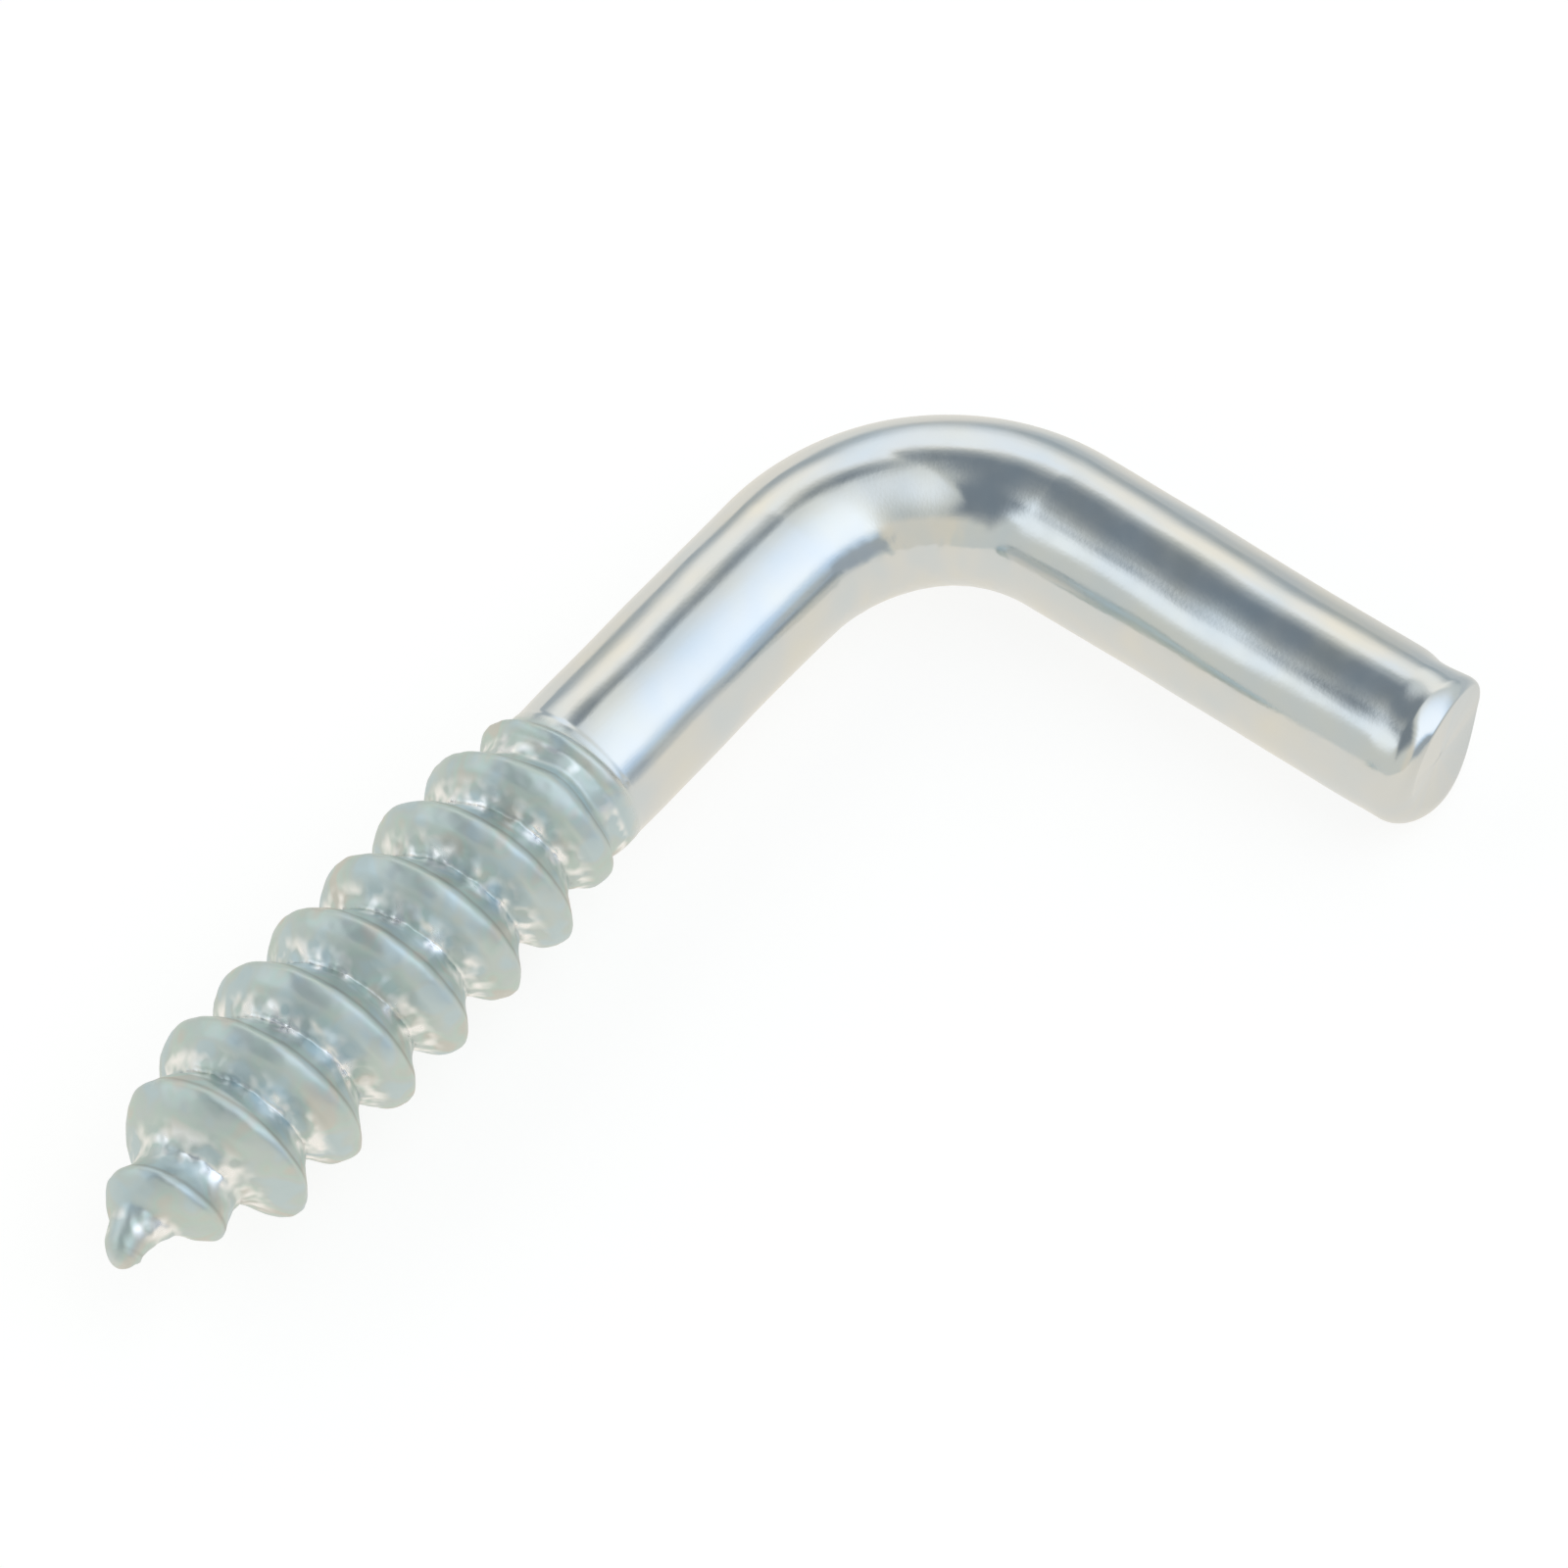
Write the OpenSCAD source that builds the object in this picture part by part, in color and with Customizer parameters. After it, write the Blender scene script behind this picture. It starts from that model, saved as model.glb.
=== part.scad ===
// Square screw hook, one length of plated wire with a rolled wood-screw thread
// The shank runs along X with its point towards -X, and the arm runs towards -Y
// It lies as it comes to rest, on the side of its arm and on one crest of the thread
// The origin is below the middle of its bounding box, and lengths are in millimetres

/* [Wire] */
// Diameter of the wire
wire_d = 4; // [3.8:0.1:4.4]
// Length over all, from the point to the outer side of the arm
overall_l = 31.8; // [31:0.2:36]
// Reach, from the outer side of the shank to the middle of the sheared end
reach = 18.2; // [14:0.2:24]
// Radius of the bend along the middle of the wire
bend_r = 4.8; // [3:0.1:6]

/* [Thread] */
// Diameter over the crests
thread_d = 5.1; // [4.8:0.1:5.4]
// Diameter of the core between the turns
core_d = 3.4; // [3:0.1:3.6]
// Advance of one turn
pitch = 1.96; // [1.8:0.02:2.2]
// Length from the point to the shoulder where the plain shank begins
thread_l = 17.5; // [16:0.5:20]
// Radius of the rounded crest
crest_round = 0.5; // [0.2:0.05:0.6]
// Steepness of the flanks, from the shank's length
flank_angle = 60; // [50:1:70]
// Length over which the ridge dies away before the shoulder
runout_l = 3.2; // [1.6:0.2:4]
// Length over which the core swells to the shoulder
swell_l = 3; // [1.6:0.2:4]
// Turn of the thread about the shank, where 0 has a crest on the side away from the arm
start_turn = 317; // [0:1:359]

/* [Point] */
// Length of the taper from the point to the full thread
taper_l = 4.4; // [4:0.2:6]
// Fullness of the taper, where 1 is a plain cone and more is a rounder one
taper_power = 1.05; // [1:0.05:1.6]
// Size of the blunt nose, as a share of the full section
blunt_share = 0.2; // [0.15:0.05:0.4]
// Length of the rounding on the nose
nose_l = 0.4; // [0.3:0.1:1]
// Length over which the ridge rises from the point
start_l = 1.5; // [1:0.1:2]

/* [Shoulder] */
// Depth of the step from the shank down to the neck
shoulder_depth = 0.08; // [0.06:0.02:0.2]
// Length of the chamfer on the edge of the shoulder
shoulder_l = 0.15; // [0.1:0.05:0.3]

/* [Sheared end] */
// Slope of the sheared face, away from square
face_slope = 13; // [0:1:20]
// Turn of the lip that stands out furthest, up from the outer side of the arm
lip_turn = 137; // [90:1:180]
// Slope of the rolled-over edge along the lip, away from square
roll_slope = 66; // [55:1:75]
// Width of the rolled-over edge, in from the side of the wire
roll_w = 0.4; // [0.2:0.05:0.6]

/* [Hidden] */

// Smoothness of the round parts
$fn = 96;

// Radii of the wire, crests, core and neck
wire_r = wire_d / 2;
thread_r = thread_d / 2;
core_r = core_d / 2;
neck_r = wire_r - shoulder_depth;

// Distances from the corner where the two centrelines would cross
point_x = overall_l - wire_r;
shoulder_x = point_x - thread_l;
arm_end = reach - wire_r;

// Where the rolled edge starts on the sheared face, and how far the lip stands out
lip_x = wire_r - roll_w;
lip_out = lip_x * tan(face_slope);

// Columns of points in one turn, and steps across one ridge
turn_steps = 36;
ridge_steps = 10;
column_points = ridge_steps + 2;

// How far the thread's surface runs on inside the shank, and how close to the point it starts
hidden_l = 0.6;
start_gap = 0.3;

// Columns of facets, from one turn before the point
columns = ceil(((thread_l + hidden_l) / pitch + 1) * turn_steps);

// Half the width of a ridge at its foot, where the flank meets the core
arc_w = crest_round * sin(flank_angle);
arc_h = crest_round * (1 - cos(flank_angle));
foot_w = arc_w + (thread_r - core_r - arc_h) / tan(flank_angle);

// Shares of the pitch where a column has its points: the floor's middle, then over the ridge
stations = concat(
    [0],
    [for (m = [0:ridge_steps]) 0.5 - foot_w / pitch * cos(180 * m / ridge_steps)]
);

// A share of a length, kept between 0 and 1
function share(length, whole) = min(1, max(0, length / whole));

// Ease from 0 to 1 with level ends
function ease(u) = u * u * (3 - 2 * u);

// Distance from the point of a lattice length, squeezed so that it never passes the point
function from_point(u) = (u + sqrt(u * u + 4 * start_gap * start_gap)) / 2;

// Drop below the crest at a distance v across the ridge: a round back, then straight flanks
function drop(v) = v < arc_w ?
    crest_round - sqrt(crest_round * crest_round - v * v) :
    arc_h + (v - arc_w) * tan(flank_angle);

// Rounding of the nose, a quarter circle that grows to 1
function nose(s) = sqrt(1 - pow(1 - share(s, nose_l), 2));

// Size of the section near the point, as a share of the full one
function taper(s) =
    nose(s) * (blunt_share + (1 - blunt_share) * (1 - pow(1 - share(s, taper_l), taper_power)));

// Radius of the core at a distance s from the point
function core(s) =
    core_r * taper(s) + (neck_r - core_r) * ease(1 - share(thread_l - s, swell_l));

// Radius of the crest at a distance s from the point, which rises fast from the shoulder
function crest(s) = let (
    full = taper(s) * (core_r + (thread_r - core_r) * ease(share(s, start_l)))
) neck_r + (full - neck_r) * sqrt(ease(share(thread_l - s, runout_l)));

// Radius of the surface at a distance s from the point and a share t across the turn
function thread_radius(s, t) = max(core(s), crest(s) - drop(abs(t - 0.5) * pitch));

// Point of the surface in column i at station k, on a right-handed helix about X
function thread_point(i, k) = let (
    turn = i / turn_steps,
    s = from_point(pitch * (turn - 1 + stations[k])),
    r = thread_radius(s, stations[k]),
    a = 360 * turn + start_turn
) [s - point_x, r * cos(a), r * sin(a)];

// Place of a point in the list, where the end of a column is the start of the next turn's
function index(i, k) =
    k == column_points ? index(i + turn_steps, 0) :
    i > columns ? (columns + 1) * column_points + i - columns - 1 :
    i * column_points + k;

// All points of the thread: the columns, the last turn's edge, the point and the hidden end
thread_points = concat(
    [for (i = [0:columns], k = [0:column_points - 1]) thread_point(i, k)],
    [for (i = [columns + 1:columns + turn_steps]) thread_point(i, 0)],
    [[-point_x, 0, 0], [thread_l + pitch + 2 * hidden_l - point_x, 0, 0]]
);
point_index = len(thread_points) - 2;
hidden_index = len(thread_points) - 1;

// Facets of the thread: the flanks, the fan at the point and the fan at the hidden end
thread_faces = concat(
    [for (i = [0:columns - 1], k = [0:column_points - 1])
        [index(i, k), index(i, k + 1), index(i + 1, k + 1)]],
    [for (i = [0:columns - 1], k = [0:column_points - 1])
        [index(i, k), index(i + 1, k + 1), index(i + 1, k)]],
    [for (i = [0:turn_steps - 1]) [point_index, index(i, 0), index(i + 1, 0)]],
    [for (k = [0:column_points - 1]) [point_index, index(0, k + 1), index(0, k)]],
    [for (i = [columns:columns + turn_steps - 1]) [hidden_index, index(i + 1, 0), index(i, 0)]],
    [for (k = [0:column_points - 1]) [hidden_index, index(columns, k), index(columns, k + 1)]]
);

// Tilt about the arm's axis that brings a point of the thread just down to the floor
function touch_tilt(p) = let (d = norm([p[0], p[2]]))
    p[2] < 0 ? atan2(-p[2], -p[0]) - asin(wire_r / d) : 0;

// Tilt of the hook as it lies, with its arm level and one crest on the floor
rest_tilt = max([for (p = thread_points) touch_tilt(p)]);

// Middle of the bounding box, from the corner of the centrelines
middle_x = (wire_r - point_x * cos(rest_tilt)) / 2;
middle_y = (thread_r - arm_end - lip_out) / 2;

// Thread and gimlet point
module thread() {
    color("lightsteelblue")
    polyhedron(points = thread_points, faces = thread_faces, convexity = 10);
}

// Plain shank with the chamfered shoulder
module shank() {
    color("gainsboro") {
        translate([shoulder_l - shoulder_x, 0, 0])
        rotate([0, 90, 0])
        cylinder(r = wire_r, h = shoulder_x - shoulder_l - bend_r);

        translate([-shoulder_x, 0, 0])
        rotate([0, 90, 0])
        cylinder(r1 = neck_r + shoulder_depth / 3, r2 = wire_r, h = shoulder_l);
    }
}

// Right-angle bend between the shank and the arm
module bend() {
    color("silver")
    translate([-bend_r, -bend_r, 0])
    rotate_extrude(angle = 90)
    translate([bend_r, 0])
    circle(r = wire_r);
}

// Block beyond a cut of the given slope, which meets the sheared face at x towards the lip
module cut(x, slope) {
    rotate([0, -lip_turn, 0])
    translate([x, -x * tan(face_slope), 0])
    rotate([0, 0, slope])
    translate([-2 * wire_d, -wire_d, -wire_d])
    cube([4 * wire_d, wire_d, 2 * wire_d]);
}

// Straight arm, sheared at a slope, with a rolled-over edge along the lip
module arm() {
    color("lightgray")
    difference() {
        translate([0, -bend_r, 0])
        rotate([90, 0, 0])
        cylinder(r = wire_r, h = arm_end - bend_r + wire_r);

        translate([0, -arm_end, 0]) {
            cut(0, -face_slope);
            cut(lip_x, roll_slope);
        }
    }
}

// The whole hook, as it lies
module screw_hook() {
    translate([-middle_x, -middle_y, wire_r])
    rotate([0, rest_tilt, 0])
    union() {
        thread();
        shank();
        bend();
        arm();
    }
}

screw_hook();
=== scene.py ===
# Square screw hook of bright zinc-plated steel wire, lying on a pale floor in soft studio light
import math
import bpy
import numpy as np
from mathutils import Matrix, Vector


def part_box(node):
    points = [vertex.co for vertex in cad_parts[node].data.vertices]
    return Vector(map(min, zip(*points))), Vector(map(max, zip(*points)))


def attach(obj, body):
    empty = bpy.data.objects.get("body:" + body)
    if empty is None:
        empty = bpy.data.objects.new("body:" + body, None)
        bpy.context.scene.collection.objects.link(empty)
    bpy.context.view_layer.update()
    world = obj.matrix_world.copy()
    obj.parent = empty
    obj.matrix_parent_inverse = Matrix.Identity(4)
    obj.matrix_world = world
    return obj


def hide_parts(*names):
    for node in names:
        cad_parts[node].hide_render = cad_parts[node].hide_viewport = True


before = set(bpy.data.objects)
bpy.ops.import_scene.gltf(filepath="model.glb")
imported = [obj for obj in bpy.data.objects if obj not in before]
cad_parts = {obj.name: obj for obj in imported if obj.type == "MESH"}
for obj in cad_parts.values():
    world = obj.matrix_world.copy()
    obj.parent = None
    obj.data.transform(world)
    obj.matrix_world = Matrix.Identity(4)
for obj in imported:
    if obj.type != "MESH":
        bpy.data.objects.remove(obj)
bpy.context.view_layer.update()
print("frame loaded, CAD nodes:", len(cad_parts))

# the wire, in mm: the corner of its centrelines is the origin, the shank runs along -X and the arm along -Y
# a place on the wire is a distance from the point and a turn in degrees, from the outer side up over the top
# a pair named Along, Around or Across is the middle and half width of a swelling
# a pair named From or To is where a change starts and the length it takes
wire = dict(
    radius=2.0, tipX=29.8, bendRadius=4.8, armEnd=16.2, columns=160,
    bendFlat=0.06,  # how much the bend is pressed thinner, and wider the other way
    wave=0.020, waveSize=4.5, waveStretch=1.6,  # slow unevenness of the straightened wire
    ripple=0.005, rippleSize=1.6, rippleStretch=2,
    wavesFrom=(0.2, 1.0), wavesTo=(0, 0.8),  # past the shoulder, and before the sheared end
    skin=0.0030, skinSize=0.42, skinFrom=(0.65, 0.25),  # coarse skin on the bend's inner side, by the cosine
    crease=(28.39, 90), creaseEnd=(30.14, 120),  # two places on a line where the bend swells below it
    swelling=0.16, swellingAlong=(1.0, 1.8), swellingFade=1.6, swellingRound=0.03,
)

# the rolled thread, in mm: its measures are near those of the part's source, with a lopsided ridge
# distances called past are from the shoulder, and less than 0 on the thread
thread = dict(
    length=17.2, crest=2.56, core=1.65, pitch=1.96, turn=319.2,
    gap=0.3,  # the helix winds up towards the point and never passes it
    crestAt=0.105, crestRound=0.15,  # the crest leans towards the shank, and its rounding is small
    brow=0.55, browWidth=0.46, tipFlank=1.39, shankFlank=1.13, flankRound=0.06,  # rise over run of the slopes
    fillet=0.50, filletLeast=0.01, filletHeight=0.8,  # rounding at the foot, full under a ridge this high
    taper=4.20, taperPower=0.94, blunt=0.22, nose=0.41, start=1.93,
    lean=(-0.30, -0.13), leanLength=1.36, leanPower=1.5,  # the gimlet point is a little bent in Y and Z
    tipTurn=27, tipTurnLength=4,  # and its thread is turned
    runout=2.95, swell=2.4, neck=2.02, step=0.16,
    collar=0.14, collarTurn=35, collarTo=(-0.7, 0.7),  # the neck stands proud of the wire on one side
    squeeze=0.12, squeezeFrom=0.6,  # turns by which the pitch tightens, from this share of the length
    lastTurn=0.24, lastTurnFrom=(-1.0, 0.7),  # and by which the tail of the ridge is drawn back
    bulge=0.12, bulgeAround=(113, 22), bulgeAlong=(-1.2, 0.7),  # the last turn stands out to one side
    low=0.43, lowAround=(215, 50), lowAlong=(-1.1, 0.7),  # and is low on another
    dent=0.010, dentSize=1.3, pit=0.003, pitSize=0.30, roughFrom=(0, 1.0), roughTo=(-0.4, 0.5),
    lump=0.014, lumpSize=0.48, lumpOnRidge=0.25, calm=0.8, calmFrom=(-1.6, 0.8),  # calmer on the last turn
    rootFrom=(0.50, 0.3),  # where the foot of the ridge starts, across it
    paintedCrestShadeAcross=(0.19, 0.055),  # the painted shade line on the shank side of the crest
    platedFrom=(-0.2, 0.4), platedTo=(-0.45, 0.6),
)

# the sheared end, in mm: a sloping face, a rolled-over edge on one side and a burr on the other
shear = dict(
    faceAcross=-0.17, faceUp=0.16, faceSwell=0.55, swellTurn=262,  # the face swells out on its lower side
    rollDepth=0.60, rollWidth=0.32, rollTurn=112, rollSpread=2.6, leastDepth=0.10, leastWidth=0.04,
    creaseTurn=82, creaseHalf=15, creaseFade=35,  # the roll ends in a crease here, and is rounded elsewhere
    softDepth=0.68, softWidth=0.72, softTurn=205,  # the rounding on the lower side
    waist=0.13, waistAlong=(0.75, 0.55), waistAround=(24, 21),  # the wire is pressed in before the burr
    drawnOut=2.3,  # length over which the side follows the slope of the face
    curlRings=14, curlPower=1.8, faceRings=24,
)


# how far x has come from a start over a length, kept between 0 and 1
def share(x, start, length):
    return np.clip((x - start) / length, 0, 1)


# the same with level ends: three times its square less twice its cube
def ease(x, start, length):
    u = share(x, start, length)
    return u * u * (3 - 2 * u)


# a bell that is 1 at the middle and falls with the square of the distance from it
def hump(x, middleAt, width):
    return np.exp(-((x - middleAt) / width) ** 2)


# 1 on the side of the wire that faces the given turn and 0 on the far side, after a cosine
def facing(phi, degrees):
    return (1 + np.cos(phi - math.radians(degrees))) / 2


# 0 below x = 0 and x above it, with a rounded turn
# the mean of x and the root of its square plus the rounding's
def rampUp(x, rounding):
    return (np.sqrt(x * x + rounding * rounding) + x) / 2


# the higher of two heights, with a rounding where they cross
# a blend by their difference, raised by a parabola
def roundedMax(a, b, rounding):
    h = np.clip(0.5 + 0.5 * (a - b) / rounding, 0, 1)
    return b + (a - b) * h + rounding * h * (1 - h)


# even random unevenness from about -1 to 1
# a sum of plane waves in random directions, each 0.7 to 1.4 times the size long and with a random start
def unevenness(points, size, seed, waves=32, stretch=(1, 1, 1)):
    rng = np.random.default_rng(seed)
    heading = rng.normal(size=(waves, 3))
    heading /= np.linalg.norm(heading, axis=1, keepdims=True)
    heading *= 2 * math.pi / (size * rng.uniform(0.7, 1.4, (waves, 1))) / np.array(stretch)
    return np.sin(points @ heading.T + rng.uniform(0, 6.28, waves)).sum(-1) / math.sqrt(waves / 2)


# radius of the rolled thread at a distance s from the point and a turn phi about the wire, with the distance
# across the ridge: the higher of the core and of the crest less its drop, rounded where they meet
# the drop grows with the distance across the ridge, slowly on the brow and faster on the flanks
# core and crest both taper to the point, and both come to the neck at the shoulder
def threadRadius(s, phi):
    t = thread
    near = np.maximum(s, 1e-3)  # never 0, because the helix divides by it
    past = near - t["length"]
    degrees = np.degrees(phi) % 360
    squeezed = t["squeezeFrom"] * t["length"]
    tight = t["squeeze"] * share(near, squeezed, t["length"] - squeezed) ** 2
    tight += t["lastTurn"] * ease(past, *t["lastTurnFrom"])
    tight -= t["bulge"] * hump(degrees, *t["bulgeAround"]) * hump(past, *t["bulgeAlong"])
    lead = (near - t["gap"] ** 2 / near) / t["pitch"] + tight
    turn = np.radians(t["turn"] + t["tipTurn"] * (1 - share(near, 0, t["tipTurnLength"])))
    inTurns = lead - (phi - turn) / (2 * math.pi) - t["crestAt"] / t["pitch"]
    across = (inTurns % 1.0 - 0.5) * t["pitch"]
    atCrest = rampUp(0.0, t["crestRound"])
    brow = t["brow"] * (rampUp(-across, t["crestRound"]) - atCrest)
    tipFlank = (t["tipFlank"] - t["brow"]) * rampUp(-across - t["browWidth"], t["flankRound"])
    drop = brow + tipFlank + t["shankFlank"] * (rampUp(across, t["crestRound"]) - atCrest)
    nose = np.sqrt(1 - (1 - share(near, 0, t["nose"])) ** 2)
    cone = 1 - (1 - share(near, 0, t["taper"])) ** t["taperPower"]
    taper = nose * (t["blunt"] + (1 - t["blunt"]) * cone)
    neck = t["neck"] + t["collar"] * facing(phi, t["collarTurn"]) * (1 - ease(past, *t["collarTo"]))
    core = t["core"] * taper + (neck - t["core"]) * ease(past, -t["swell"], t["swell"])
    full = taper * (t["core"] + (t["crest"] - t["core"]) * ease(near, 0, t["start"]))
    crest = neck + (full - neck) * np.sqrt(ease(-past, 0, t["runout"]))
    crest -= t["low"] * (crest - neck) * hump(degrees, *t["lowAround"]) * hump(past, *t["lowAlong"])
    fillet = t["fillet"] * share(crest - core, 0, t["filletHeight"]) + t["filletLeast"]
    return roundedMax(crest - drop, core, fillet), across


# rows of the mesh along the wire, in mm from the point, past the shoulder or before the end
# a stretch has a start or an end and a spacing, and the bend and the end have a number of rows
# the nose's rows are squares, so that they crowd at the point
rows = dict(
    nose=(0.05, 0.45, 10), noseScale=0.75, threadFrom=0.18, thread=0.046,
    neckFrom=-0.16, neckTo=0.4, neck=0.035, shankFrom=0.45, shank=0.25,
    bend=70, arm=0.2, armTo=2.4, end=30,
)
shankLength = wire["tipX"] - wire["bendRadius"]
bendLength = wire["bendRadius"] * math.pi / 2
sideLength = shankLength + bendLength + wire["armEnd"] - wire["bendRadius"]
side = np.concatenate([
    np.linspace(*rows["nose"]) ** 2 * rows["noseScale"],
    np.arange(rows["threadFrom"], thread["length"] + rows["neckFrom"], rows["thread"]),
    np.arange(thread["length"] + rows["neckFrom"], thread["length"] + rows["neckTo"], rows["neck"]),
    np.arange(thread["length"] + rows["shankFrom"], shankLength, rows["shank"]),
    np.linspace(shankLength, shankLength + bendLength, rows["bend"]),
    np.arange(shankLength + bendLength + rows["arm"], sideLength - rows["armTo"], rows["arm"]),
    np.linspace(sideLength - shear["drawnOut"], sideLength, rows["end"]),
])
turns = np.arange(wire["columns"]) * 2 * math.pi / wire["columns"]
s, phi = np.meshgrid(side, turns, indexing="ij")
pastShoulder = s - thread["length"]
toEnd = sideLength - s


# a point out and up from the wire's centreline, which runs along X, round a quarter circle, then along -Y
def carry(s, outward, up):
    a = np.clip((s - shankLength) / wire["bendRadius"], 0, math.pi / 2)
    pastBend = np.maximum(s - shankLength - bendLength, 0)
    r = wire["bendRadius"]
    x = np.minimum(s, shankLength) - wire["tipX"] + r * np.sin(a) + np.sin(a) * outward
    y = -r + r * np.cos(a) - pastBend + np.cos(a) * outward
    return np.stack([x, y, up], -1)


# side of the wire: the thread, the shoulder, and the plain wire
threaded, across = threadRadius(s, phi)
plain = wire["radius"] + (thread["neck"] - wire["radius"]) * (1 - ease(pastShoulder, 0, thread["step"]))
radius = np.where(pastShoulder < 0, threaded, plain)
straight = np.stack([s, radius * np.cos(phi), radius * np.sin(phi)], -1)

# dents, lumps and pits that rolling and plating left on the thread, with the lumps mostly at the ridge's foot
onThread = ease(s, *thread["roughFrom"]) * (1 - ease(pastShoulder, *thread["roughTo"]))
inRoot = ease(np.abs(across), *thread["rootFrom"])
dents = thread["dent"] * unevenness(straight, thread["dentSize"], seed=3)
lumps = thread["lump"] * unevenness(straight, thread["lumpSize"], seed=4)
lumps *= thread["lumpOnRidge"] + (1 - thread["lumpOnRidge"]) * inRoot
lumps *= 1 - thread["calm"] * ease(pastShoulder, *thread["calmFrom"])
pits = thread["pit"] * unevenness(straight, thread["pitSize"], seed=5)
radius += onThread * (dents + lumps + pits)

# what straightening and bending did to the plain wire
onWire = ease(pastShoulder, *wire["wavesFrom"]) * ease(toEnd, *wire["wavesTo"])
waves = unevenness(straight, wire["waveSize"], seed=7, stretch=(wire["waveStretch"], 1, 1))
ripples = unevenness(straight, wire["rippleSize"], seed=8, stretch=(wire["rippleStretch"], 1, 1))
radius += onWire * (wire["wave"] * waves + wire["ripple"] * ripples)
bendAngle = np.clip((s - shankLength) / wire["bendRadius"], 0, math.pi / 2)
inBend = np.sin(2 * bendAngle) * (s > shankLength) * (s < shankLength + bendLength)
innerSide = inBend * ease(-np.cos(phi), *wire["skinFrom"])
radius += innerSide * wire["skin"] * unevenness(straight, wire["skinSize"], seed=11)

# the slanting line on the bend, laid out flat: a degree round the wire is worth its arc in mm
flatScale = np.array([1, math.radians(wire["radius"])])
creaseRun = (np.array(wire["creaseEnd"]) - wire["crease"]) * flatScale
creaseRun /= np.hypot(*creaseRun)
fromCrease = (np.stack([s, np.degrees(phi)], -1) - wire["crease"]) * flatScale
alongCrease = fromCrease @ creaseRun
belowCrease = fromCrease @ np.array([-creaseRun[1], creaseRun[0]])
swelling = hump(alongCrease, *wire["swellingAlong"])
swelling *= hump(np.maximum(belowCrease, 0), 0, wire["swellingFade"])
radius += wire["swelling"] * swelling * rampUp(belowCrease, wire["swellingRound"])

# the waist before the burr, the pressed bend and the bent point
radius -= shear["waist"] * hump(toEnd, *shear["waistAlong"]) * hump(np.degrees(phi), *shear["waistAround"])
flat = 1 - wire["bendFlat"] * inBend
outward = radius * np.cos(phi) / flat
up = radius * np.sin(phi) * flat
sidePoints = carry(s, outward, up)
lean = (1 - share(s, 0, thread["leanLength"])) ** thread["leanPower"]
sidePoints[..., 1] += thread["lean"][0] * lean
sidePoints[..., 2] += thread["lean"][1] * lean
print("thread, shank, bend and arm worked out")


# height of the sheared face out from square, at a place across the wire
# a slope each way, and a swelling that grows with the square of the distance to one side
def faceHeight(x, z):
    a = math.radians(shear["swellTurn"])
    swell = np.maximum((x * math.cos(a) + z * math.sin(a)) / wire["radius"], 0) ** 2
    return shear["faceAcross"] * x + shear["faceUp"] * z + shear["faceSwell"] * swell


# the side is drawn out to meet the rolled edge, which curls over to the face; the face closes at its middle
rollShare = facing(turns, shear["rollTurn"]) ** shear["rollSpread"]
softShare = facing(turns, shear["softTurn"])
rollDepth = shear["leastDepth"] + (shear["rollDepth"] - shear["leastDepth"]) * rollShare
rollWidth = shear["leastWidth"] + (shear["rollWidth"] - shear["leastWidth"]) * rollShare
rollDepth = np.maximum(rollDepth, shear["softDepth"] * softShare)
rollWidth = np.maximum(rollWidth, shear["softWidth"] * softShare)
fromCreaseTurn = np.abs(np.degrees(turns) - shear["creaseTurn"])
creased = 1 - ease(fromCreaseTurn, shear["creaseHalf"], shear["creaseFade"])
lastX, lastZ = outward[-1], up[-1]
rimX = lastX * (1 - rollWidth / wire["radius"])
rimZ = lastZ * (1 - rollWidth / wire["radius"])
rimHeight = faceHeight(rimX, rimZ)
sidePoints[..., 1] -= (1 - ease(toEnd, 0, shear["drawnOut"])) * (rimHeight - rollDepth)
curl = np.linspace(0, 1, shear["curlRings"] + 1)[1:, None]
inShare = creased * curl ** shear["curlPower"] + (1 - creased) * (1 - np.cos(curl * math.pi / 2))
downShare = creased * curl + (1 - creased) * np.sin(curl * math.pi / 2)
rollPoints = np.stack([
    lastX + (rimX - lastX) * inShare,
    -wire["armEnd"] - rimHeight + rollDepth * (1 - downShare),
    lastZ + (rimZ - lastZ) * inShare,
], -1)
inwards = np.linspace(1, 0, shear["faceRings"] + 2)[1:-1, None]
facePoints = np.stack([
    rimX * inwards,
    -wire["armEnd"] - faceHeight(rimX * inwards, rimZ * inwards),
    rimZ * inwards,
], -1)
rings = np.concatenate([sidePoints, rollPoints, facePoints])
apex = np.array([-wire["tipX"], *thread["lean"]])
faceMiddle = np.array([0, -wire["armEnd"], 0])
print("sheared end worked out")

# how the hook lies: turned about the arm until one crest touches the floor
underside = sidePoints[side < thread["length"]].reshape(-1, 3)
underside = underside[underside[:, 2] < 0]
reach = np.hypot(underside[:, 0], underside[:, 2])
restTilt = np.max(np.arctan2(-underside[:, 2], -underside[:, 0]) - np.arcsin(wire["radius"] / reach))
cosTilt, sinTilt = math.cos(restTilt), math.sin(restTilt)
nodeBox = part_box("screw_hook")


# points or directions of the hook's own frame, turned about Y as the hook lies
def tilted(points):
    x = points[..., 0] * cosTilt + points[..., 2] * sinTilt
    z = points[..., 2] * cosTilt - points[..., 0] * sinTilt
    return np.stack([x, points[..., 1], z], -1)


# from the hook's own frame in mm to the row frame in metres
# tilted, then moved so that it is centred along X, its crests reach as far in Y as the CAD node's, and the
# arm lies on the floor
def place(points):
    centreX = (wire["tipX"] * cosTilt - wire["radius"]) / 2
    return tilted(points) / 1000 + np.array([
        centreX / 1000, nodeBox[1][1] - thread["crest"] / 1000, wire["radius"] / 1000])


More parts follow.
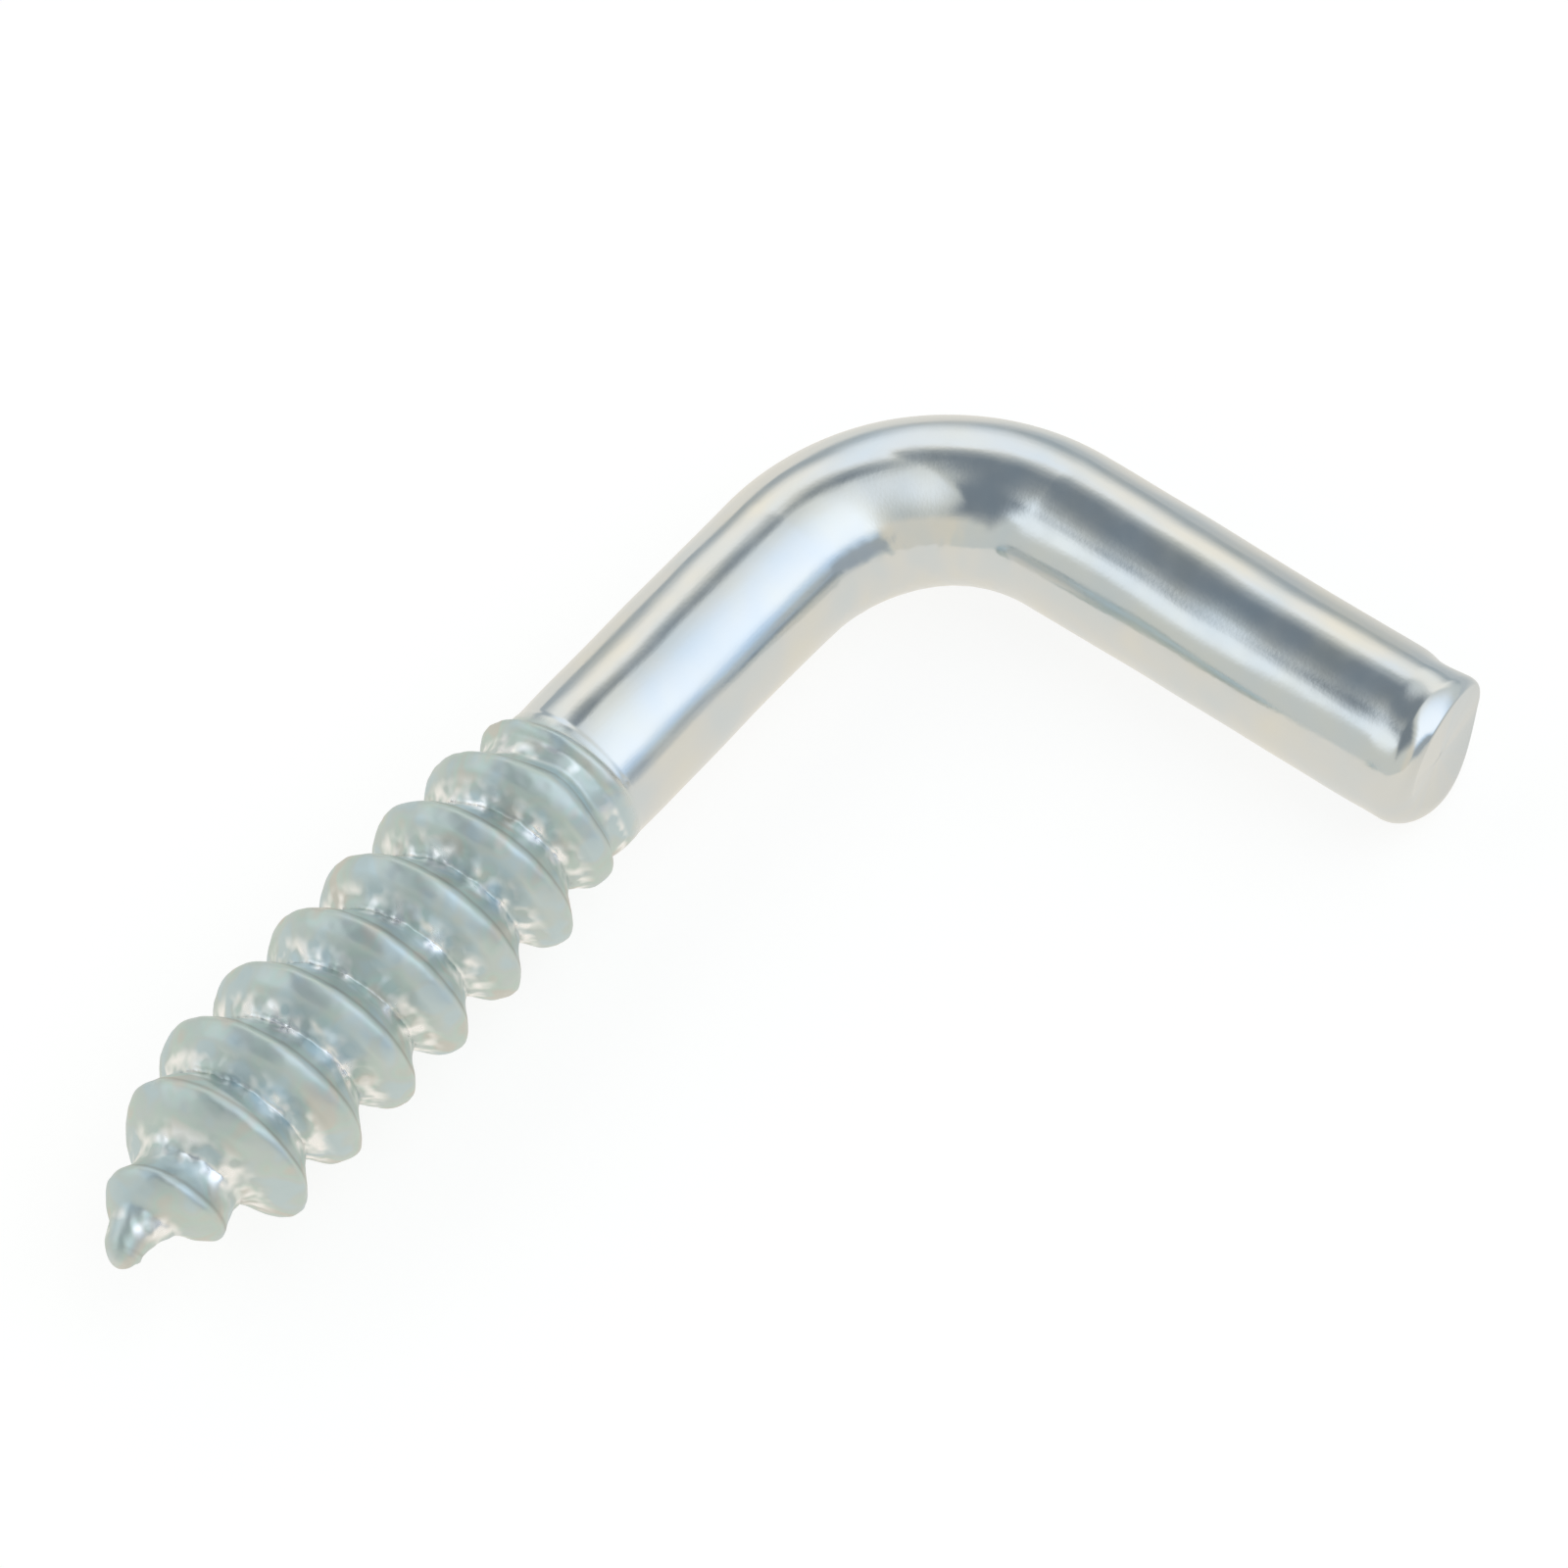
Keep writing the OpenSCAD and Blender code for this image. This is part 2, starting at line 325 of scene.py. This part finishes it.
# one closed mesh: a fan at the point, quads along the wire, and a fan at the middle of the face
rowCount, columnCount = rings.shape[:2]
points = np.concatenate([place(rings).reshape(-1, 3), place(apex)[None], place(faceMiddle)[None]])
row, column = np.meshgrid(np.arange(rowCount - 1), np.arange(columnCount), indexing="ij")
nextColumn = (column + 1) % columnCount
quads = np.stack([
    row * columnCount + column, row * columnCount + nextColumn,
    (row + 1) * columnCount + nextColumn, (row + 1) * columnCount + column,
], -1).reshape(-1, 4)
first = np.arange(columnCount)
following = (first + 1) % columnCount
last = (rowCount - 1) * columnCount
apexFan = np.stack([np.full(columnCount, len(points) - 2), following, first], -1)
middleFan = np.stack([np.full(columnCount, len(points) - 1), last + first, last + following], -1)
hookMesh = bpy.data.meshes.new("screwHook")
hookMesh.from_pydata(points.tolist(), [], quads.tolist() + apexFan.tolist() + middleFan.tolist())
hookMesh.shade_smooth()
hook = bpy.data.objects.new("screw_hook_plated", hookMesh)
bpy.context.scene.collection.objects.link(hook)
print("mesh made:", len(points), "points")

# places along the straightened wire in mm, so that drawn lines follow the bend
endRows = rowCount - len(side)
wirePoints = np.concatenate([straight, np.repeat(straight[-1:], endRows, 0)]).reshape(-1, 3)
wirePoints = np.concatenate([wirePoints, [[0, 0, 0]], [[sideLength, 0, 0]]])
layout = hookMesh.attributes.new("straightWire", "FLOAT_VECTOR", "POINT")
layout.data.foreach_set("vector", wirePoints.astype(np.float32).ravel())


# a share from 0 to 1 for each point of the side and for the apex, and 0 on the whole sheared end
def addShare(name, onSide, atApex):
    values = np.concatenate([onSide.ravel(), np.zeros(endRows * columnCount), [atApex, 0.0]])
    layer = hookMesh.attributes.new(name, "FLOAT", "POINT")
    layer.data.foreach_set("value", np.clip(values, 0, 1).astype(np.float32))


plated = ease(s, *thread["platedFrom"]) * (1 - ease(pastShoulder, *thread["platedTo"]))
addShare("threadShare", plated, 1.0)
addShare("rootShare", onThread * inRoot, 0.0)
# where the shade line along the shank side of each crest is painted
addShare("paintedCrestShadeShare", onThread * hump(across, *thread["paintedCrestShadeAcross"]), 0.0)
# the line marked along the crest is painted shade
print("thread, foot and worn line marked")


# sRGB hex to linear colour
def linear(hexColour):
    parts = [int(hexColour[i:i + 2], 16) / 255 for i in (1, 3, 5)]
    return [p / 12.92 if p <= 0.04045 else ((p + 0.055) / 1.055) ** 2.4 for p in parts] + [1.0]


# adds a node with its settings; links maps an input to a node's output, or to a fixed value
# a colour Mix takes its two colours at 6 and 7 and gives the result at 2
def addNode(tree, kind, settings=None, links=None):
    node = tree.nodes.new(kind)
    for name, value in (settings or {}).items():
        setattr(node, name, value)
    for name, value in (links or {}).items():
        if isinstance(value, bpy.types.NodeSocket):
            tree.links.new(value, node.inputs[name])
        else:
            node.inputs[name].default_value = value
    return node


# bright zinc plating on drawn steel wire, with a clear blue passivation
# a soft mirror with a faint cloudy cool and warm tint
# on the rolled thread it is duller and thicker, with pale blue, green and straw patches, painted white glints
# at the foot of the ridge, in spots that are also smoother, and a painted shade line along the shank side of
# its crest
# sizes are in mm and bump heights in metres; the grain and the drawn lines are coarser than the real ones, so
# that they show
zinc = dict(
    clouds=[(0.32, "#D8DFE4"), (0.50, "#DEE1E2"), (0.68, "#E3E3DE")], cloudSize=2.2,
    patches=[(0.36, "#C9DBE1"), (0.46, "#CED8D6"), (0.56, "#CADBD4"), (0.66, "#D6D3CA")], patchSize=0.9,
    thread="#D0D9D8", patchShare=0.7,
    # painted glints: white put into the colour in spots at the foot of the ridge, which are also smoother
    paintedGlint="#FFFFFF", glintSpotSize=0.46, glintSpotFrom=0.43, glintSpotTo=0.64,
    # painted shade: a brownish-grey line along the shank side of each crest, and how strong it is
    paintedCrestShade="#A29C93", paintedCrestShadeShare=0.45,
    roughWire=0.135, roughThread=0.45, roughGlintSpot=0.27,
    blotchSize=0.6, blotchFrom=0.3, blotchTo=0.7, blotchLess=-0.035, blotchMore=0.045,  # of the roughness
    peelSize=0.50, peelAlong=0.35, peelHeight=0.0000045,  # Along: how much slower it changes along the wire
    grainSize=0.09, grainHeight=0.0000008,
    drawnSize=0.14, drawnAlong=0.05, drawnHeight=0.0000011,
)


def zincPlating():
    material = bpy.data.materials.new("bright_zinc_plating")
    material.use_nodes = True
    tree = material.node_tree
    tree.nodes.clear()
    onWirePlace = addNode(tree, "ShaderNodeAttribute", dict(attribute_name="straightWire")).outputs["Vector"]
    rolled = addNode(tree, "ShaderNodeAttribute", dict(attribute_name="threadShare"))
    foot = addNode(tree, "ShaderNodeAttribute", dict(attribute_name="rootShare"))
    crestLine = addNode(tree, "ShaderNodeAttribute", dict(attribute_name="paintedCrestShadeShare"))

    # colour
    cloud = addNode(tree, "ShaderNodeTexNoise", links={
        "Vector": onWirePlace, "Scale": 1 / zinc["cloudSize"], "Detail": 2.0})
    cloudTint = addNode(tree, "ShaderNodeValToRGB", links={"Fac": cloud.outputs["Fac"]})
    patch = addNode(tree, "ShaderNodeTexNoise", links={
        "Vector": onWirePlace, "Scale": 1 / zinc["patchSize"], "Detail": 1.0})
    patchTint = addNode(tree, "ShaderNodeValToRGB", links={"Fac": patch.outputs["Fac"]})
    for ramp, stops in ((cloudTint.color_ramp, zinc["clouds"]), (patchTint.color_ramp, zinc["patches"])):
        for position, hexColour in stops:
            ramp.elements.new(position).color = linear(hexColour)
        ramp.elements.remove(ramp.elements[-1])
        ramp.elements.remove(ramp.elements[0])
    threadTint = addNode(tree, "ShaderNodeMix", dict(data_type="RGBA"), {
        "Factor": zinc["patchShare"], 6: linear(zinc["thread"]), 7: patchTint.outputs["Color"]})
    # painted glints: spots at the foot of the ridge turn the colour white and the roughness lower
    glintSpotNoise = addNode(tree, "ShaderNodeTexNoise", links={
        "Vector": onWirePlace, "Scale": 1 / zinc["glintSpotSize"], "Detail": 1.0})
    glintSpots = addNode(tree, "ShaderNodeMapRange", links={
        "Value": glintSpotNoise.outputs["Fac"], "From Min": zinc["glintSpotFrom"], "From Max": zinc["glintSpotTo"]})
    smoothAndPaintedGlintShare = addNode(tree, "ShaderNodeMath", dict(operation="MULTIPLY"), {
        0: foot.outputs["Fac"], 1: glintSpots.outputs["Result"]})
    paintedGlintTint = addNode(tree, "ShaderNodeMix", dict(data_type="RGBA"), {
        "Factor": smoothAndPaintedGlintShare.outputs[0], 6: threadTint.outputs[2], 7: linear(zinc["paintedGlint"])})
    # painted shade along the shank side of each crest, mixed into the colour
    paintedCrestShadeShare = addNode(tree, "ShaderNodeMath", dict(operation="MULTIPLY"), {
        0: crestLine.outputs["Fac"], 1: zinc["paintedCrestShadeShare"]})
    paintedCrestShadeTint = addNode(tree, "ShaderNodeMix", dict(data_type="RGBA"), {
        "Factor": paintedCrestShadeShare.outputs[0], 6: paintedGlintTint.outputs[2], 7: linear(zinc["paintedCrestShade"])})
    colour = addNode(tree, "ShaderNodeMix", dict(data_type="RGBA"), {
        "Factor": rolled.outputs["Fac"], 6: cloudTint.outputs["Color"], 7: paintedCrestShadeTint.outputs[2]})

    # roughness
    plainRough = addNode(tree, "ShaderNodeMapRange", links={
        "Value": rolled.outputs["Fac"], "To Min": zinc["roughWire"], "To Max": zinc["roughThread"]})
    blotch = addNode(tree, "ShaderNodeTexNoise", links={
        "Vector": onWirePlace, "Scale": 1 / zinc["blotchSize"], "Detail": 3.0})
    blotchRough = addNode(tree, "ShaderNodeMapRange", links={
        "Value": blotch.outputs["Fac"], "From Min": zinc["blotchFrom"], "From Max": zinc["blotchTo"],
        "To Min": zinc["blotchLess"], "To Max": zinc["blotchMore"]})
    roughSum = addNode(tree, "ShaderNodeMath", dict(operation="ADD"), {
        0: plainRough.outputs["Result"], 1: blotchRough.outputs["Result"]})
    roughness = addNode(tree, "ShaderNodeMapRange", links={
        "Value": smoothAndPaintedGlintShare.outputs[0], "To Min": roughSum.outputs[0], "To Max": zinc["roughGlintSpot"]})

    # bump
    peelPlace = addNode(tree, "ShaderNodeMapping", dict(vector_type="POINT"), {
        "Vector": onWirePlace, "Scale": (zinc["peelAlong"], 1, 1)})
    peel = addNode(tree, "ShaderNodeTexNoise", links={
        "Vector": peelPlace.outputs["Vector"], "Scale": 1 / zinc["peelSize"], "Detail": 1.0})
    grain = addNode(tree, "ShaderNodeTexNoise", links={
        "Vector": onWirePlace, "Scale": 1 / zinc["grainSize"], "Detail": 1.0})
    drawnPlace = addNode(tree, "ShaderNodeMapping", dict(vector_type="POINT"), {
        "Vector": onWirePlace, "Scale": (zinc["drawnAlong"], 1, 1)})
    drawn = addNode(tree, "ShaderNodeTexNoise", links={
        "Vector": drawnPlace.outputs["Vector"], "Scale": 1 / zinc["drawnSize"], "Detail": 2.0})
    peelBump = addNode(tree, "ShaderNodeBump", links={
        "Height": peel.outputs["Fac"], "Strength": 1.0, "Distance": zinc["peelHeight"]})
    grainBump = addNode(tree, "ShaderNodeBump", links={
        "Height": grain.outputs["Fac"], "Strength": 1.0, "Distance": zinc["grainHeight"],
        "Normal": peelBump.outputs["Normal"]})
    drawnBump = addNode(tree, "ShaderNodeBump", links={
        "Height": drawn.outputs["Fac"], "Strength": 1.0, "Distance": zinc["drawnHeight"],
        "Normal": grainBump.outputs["Normal"]})

    shader = addNode(tree, "ShaderNodeBsdfPrincipled", links={
        "Base Color": colour.outputs[2], "Metallic": 1.0, "Roughness": roughness.outputs[0],
        "Normal": drawnBump.outputs["Normal"]})
    addNode(tree, "ShaderNodeOutputMaterial", links={"Surface": shader.outputs["BSDF"]})
    return material


hookMesh.materials.append(zincPlating())
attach(hook, "root")
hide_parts("screw_hook")
print("zinc plating made")

# the camera of the photograph, as fitted to the hook's outline: angles in degrees, lengths in mm
# the aim is where the middle of the picture is, from the corner of the centrelines, to the right and up
photoView = dict(
    azimuth=-44.34, elevation=52.90, roll=-7.68, distance=494.7, aimRight=-3.021, aimUp=-8.31,
    pixelsPerMm=42.61, pixelsWide=1600, sensorWidth=36,
)


def addCamera():
    a, e, t = (math.radians(photoView[k]) for k in ("azimuth", "elevation", "roll"))
    back = np.array([math.sin(a) * math.cos(e), -math.cos(a) * math.cos(e), math.sin(e)])
    level = np.array([math.cos(a), math.sin(a), 0])
    over = np.cross(back, level)
    right = math.cos(t) * level + math.sin(t) * over
    upward = -math.sin(t) * level + math.cos(t) * over
    spot = right * photoView["aimRight"] + upward * photoView["aimUp"] + back * photoView["distance"]
    cameraData = bpy.data.cameras.new("photoCamera")
    cameraData.sensor_width = photoView["sensorWidth"]
    pictureWidth = photoView["pixelsWide"] / photoView["pixelsPerMm"]
    cameraData.lens = photoView["sensorWidth"] * photoView["distance"] / pictureWidth
    cameraData.clip_start = 0.01
    cameraData.clip_end = 20
    camera = bpy.data.objects.new("photoCamera", cameraData)
    bpy.context.scene.collection.objects.link(camera)
    axes = np.stack([tilted(right), tilted(upward), tilted(back), place(spot)], 1)
    camera.matrix_world = Matrix(axes.tolist() + [[0, 0, 0, 1]])
    bpy.context.scene.camera = camera


addCamera()
print("camera set")

# pale seamless floor: white to the camera, a warmer white in reflections, and it keeps the hook's shadow
# far to the right and away the reflected floor is dimmer; its size and those distances are in metres
floorLook = dict(
    size=1.2, paper="#FBF9F4", shadowShare=0.30, lift=1.14,
    near="#F0ECE3", far="#CBCECD", dimTowards=(0.92, -0.38, 0), dimFrom=0.012, dimTo=0.030,
)


def addFloor():
    half = floorLook["size"] / 2
    mesh = bpy.data.meshes.new("floorSheet")
    corners = [(-half, -half, 0), (half, -half, 0), (half, half, 0), (-half, half, 0)]
    mesh.from_pydata(corners, [], [(0, 1, 2, 3)])
    floor = bpy.data.objects.new("floorSheet", mesh)
    bpy.context.scene.collection.objects.link(floor)
    material = bpy.data.materials.new("matt_white_paper")
    material.use_nodes = True
    tree = material.node_tree
    tree.nodes.clear()
    rays = addNode(tree, "ShaderNodeLightPath")
    paper = addNode(tree, "ShaderNodeBsdfDiffuse", links={"Color": linear(floorLook["paper"])})
    lift = addNode(tree, "ShaderNodeEmission", links={"Color": (1, 1, 1, 1), "Strength": floorLook["lift"]})
    seen = addNode(tree, "ShaderNodeMixShader", links={
        0: floorLook["shadowShare"], 1: lift.outputs[0], 2: paper.outputs[0]})
    onFloor = addNode(tree, "ShaderNodeTexCoord")
    along = addNode(tree, "ShaderNodeVectorMath", dict(operation="DOT_PRODUCT"), {
        0: onFloor.outputs["Object"], 1: floorLook["dimTowards"]})
    dimming = addNode(tree, "ShaderNodeMapRange", dict(interpolation_type="SMOOTHSTEP"), {
        "Value": along.outputs["Value"], "From Min": floorLook["dimFrom"], "From Max": floorLook["dimTo"]})
    bounceColour = addNode(tree, "ShaderNodeMix", dict(data_type="RGBA"), {
        "Factor": dimming.outputs["Result"], 6: linear(floorLook["near"]), 7: linear(floorLook["far"])})
    bounced = addNode(tree, "ShaderNodeEmission", links={"Color": bounceColour.outputs[2], "Strength": 1.0})
    mirrored = addNode(tree, "ShaderNodeMath", dict(operation="MAXIMUM"), {
        0: rays.outputs["Is Glossy Ray"], 1: rays.outputs["Is Transmission Ray"]})
    both = addNode(tree, "ShaderNodeMixShader", links={
        0: mirrored.outputs[0], 1: seen.outputs[0], 2: bounced.outputs[0]})
    addNode(tree, "ShaderNodeOutputMaterial", links={"Surface": both.outputs[0]})
    mesh.materials.append(material)


addFloor()
print("floor laid")

# the studio as the world, a tent of soft panels around the hook with a dark slot overhead
# a panel is a shape with straight soft edges on a round map of the dome, where the middle is overhead and 1
# is the horizon; 0 degrees is to the camera's right and 90 degrees is away from it
# each edge is the way it faces in degrees, its distance from the middle, and half its softness
# a glow is a colour and its strength, and later panels lie over the earlier ones
studio = dict(turn=44.34, dome=("#E6E9E4", 0.86), panels=[
    dict(name="room in front", glow=("#F6F1E4", 0.84),
         edges=[(0, 0.20, 0.08), (90, -0.38, 0.07), (180, 0.10, 0.10)]),
    dict(name="dim low right", glow=("#CFDAE2", 0.64),
         edges=[(180, -0.20, 0.06), (90, -0.30, 0.10), (270, 0.82, 0.12)]),
    dict(name="dim far horizon", glow=("#D8E0E2", 0.66),
         edges=[(270, -0.55, 0.14)]),
    dict(name="far light", glow=("#FFFBF2", 1.06),
         edges=[(270, -0.42, 0.06), (90, 0.72, 0.14), (0, 0.5, 0.2), (180, 0.5, 0.2)]),
    dict(name="far light, middle", glow=("#F4FAFF", 1.10),
         edges=[(270, -0.44, 0.05), (90, 0.90, 0.25), (180, 0.04, 0.08), (0, 0.11, 0.08)]),
    dict(name="blue edge of the right light", glow=("#C6DCF2", 1.08),
         edges=[(180, -0.20, 0.06), (-68, 0.57, 0.07), (0, 0.84, 0.12), (90, 0.1, 0.2)]),
    dict(name="right light", glow=("#EEF6FF", 1.33),
         edges=[(191, -0.068, 0.07), (-68, 0.48, 0.08), (0, 0.70, 0.16), (90, 0.15, 0.35)]),
    dict(name="left light", glow=("#F4FBFF", 1.12),
         edges=[(-20, -0.29, 0.04), (270, 0.15, 0.04), (180, 0.66, 0.12), (90, 0.36, 0.14)]),
    dict(name="dark slot, far part", glow=("#808A92", 1.02),
         edges=[(-26, -0.070, 0.05), (160, 0.27, 0.09), (90, 0.38, 0.10), (270, 0.03, 0.03)]),
    dict(name="dark slot, near part", glow=("#808A92", 1.02),
         edges=[(14, -0.05, 0.06), (165, 0.34, 0.06), (270, 0.35, 0.13), (90, 0.02, 0.04)]),
])


# a glow's colour times its strength
def glowColour(glow):
    return [part * glow[1] for part in linear(glow[0])[:3]] + [1.0]


def addStudio():
    world = bpy.data.worlds.new("softStudio")
    bpy.context.scene.world = world
    world.use_nodes = True
    world.cycles.sampling_method = "NONE"  # it is soft all round, and needs no map of its bright places
    tree = world.node_tree
    tree.nodes.clear()
    direction = addNode(tree, "ShaderNodeTexCoord")
    turned = addNode(tree, "ShaderNodeMapping", dict(vector_type="POINT"), {
        "Vector": direction.outputs["Generated"], "Rotation": (0, 0, math.radians(studio["turn"]))})
    axes = addNode(tree, "ShaderNodeSeparateXYZ", links={0: turned.outputs[0]})
    # the round map: the direction divided by one more than its height, and a hair so that it is never zero
    height = addNode(tree, "ShaderNodeMath", dict(operation="ADD"), {0: axes.outputs[2], 1: 1.001})
    spread = addNode(tree, "ShaderNodeMath", dict(operation="DIVIDE"), {0: 1.0, 1: height.outputs[0]})
    onMap = addNode(tree, "ShaderNodeVectorMath", dict(operation="SCALE"), {
        0: turned.outputs[0], "Scale": spread.outputs[0]})
    sky = glowColour(studio["dome"])
    for panel in studio["panels"]:
        inside = 1.0
        for angle, distance, soft in panel["edges"]:
            outwards = (math.cos(math.radians(angle)), math.sin(math.radians(angle)), 0)
            along = addNode(tree, "ShaderNodeVectorMath", dict(operation="DOT_PRODUCT"), {
                0: onMap.outputs[0], 1: outwards})
            edge = addNode(tree, "ShaderNodeMapRange", dict(interpolation_type="SMOOTHSTEP"), {
                "Value": along.outputs["Value"], "From Min": distance - soft, "From Max": distance + soft,
                "To Min": 1.0, "To Max": 0.0})
            inside = addNode(tree, "ShaderNodeMath", dict(operation="MULTIPLY"), {
                0: inside, 1: edge.outputs[0]}).outputs[0]
        sky = addNode(tree, "ShaderNodeMix", dict(data_type="RGBA", label=panel["name"]), {
            "Factor": inside, 6: sky, 7: glowColour(panel["glow"])}).outputs[2]
    rays = addNode(tree, "ShaderNodeLightPath")
    seen = addNode(tree, "ShaderNodeMix", dict(data_type="RGBA"), {
        "Factor": rays.outputs["Is Camera Ray"], 6: sky, 7: (1, 1, 1, 1)})
    background = addNode(tree, "ShaderNodeBackground", links={"Color": seen.outputs[2], "Strength": 1.0})
    addNode(tree, "ShaderNodeOutputWorld", links={"Surface": background.outputs[0]})


addStudio()
bpy.context.scene.view_settings.view_transform = "Standard"
print("studio lit")
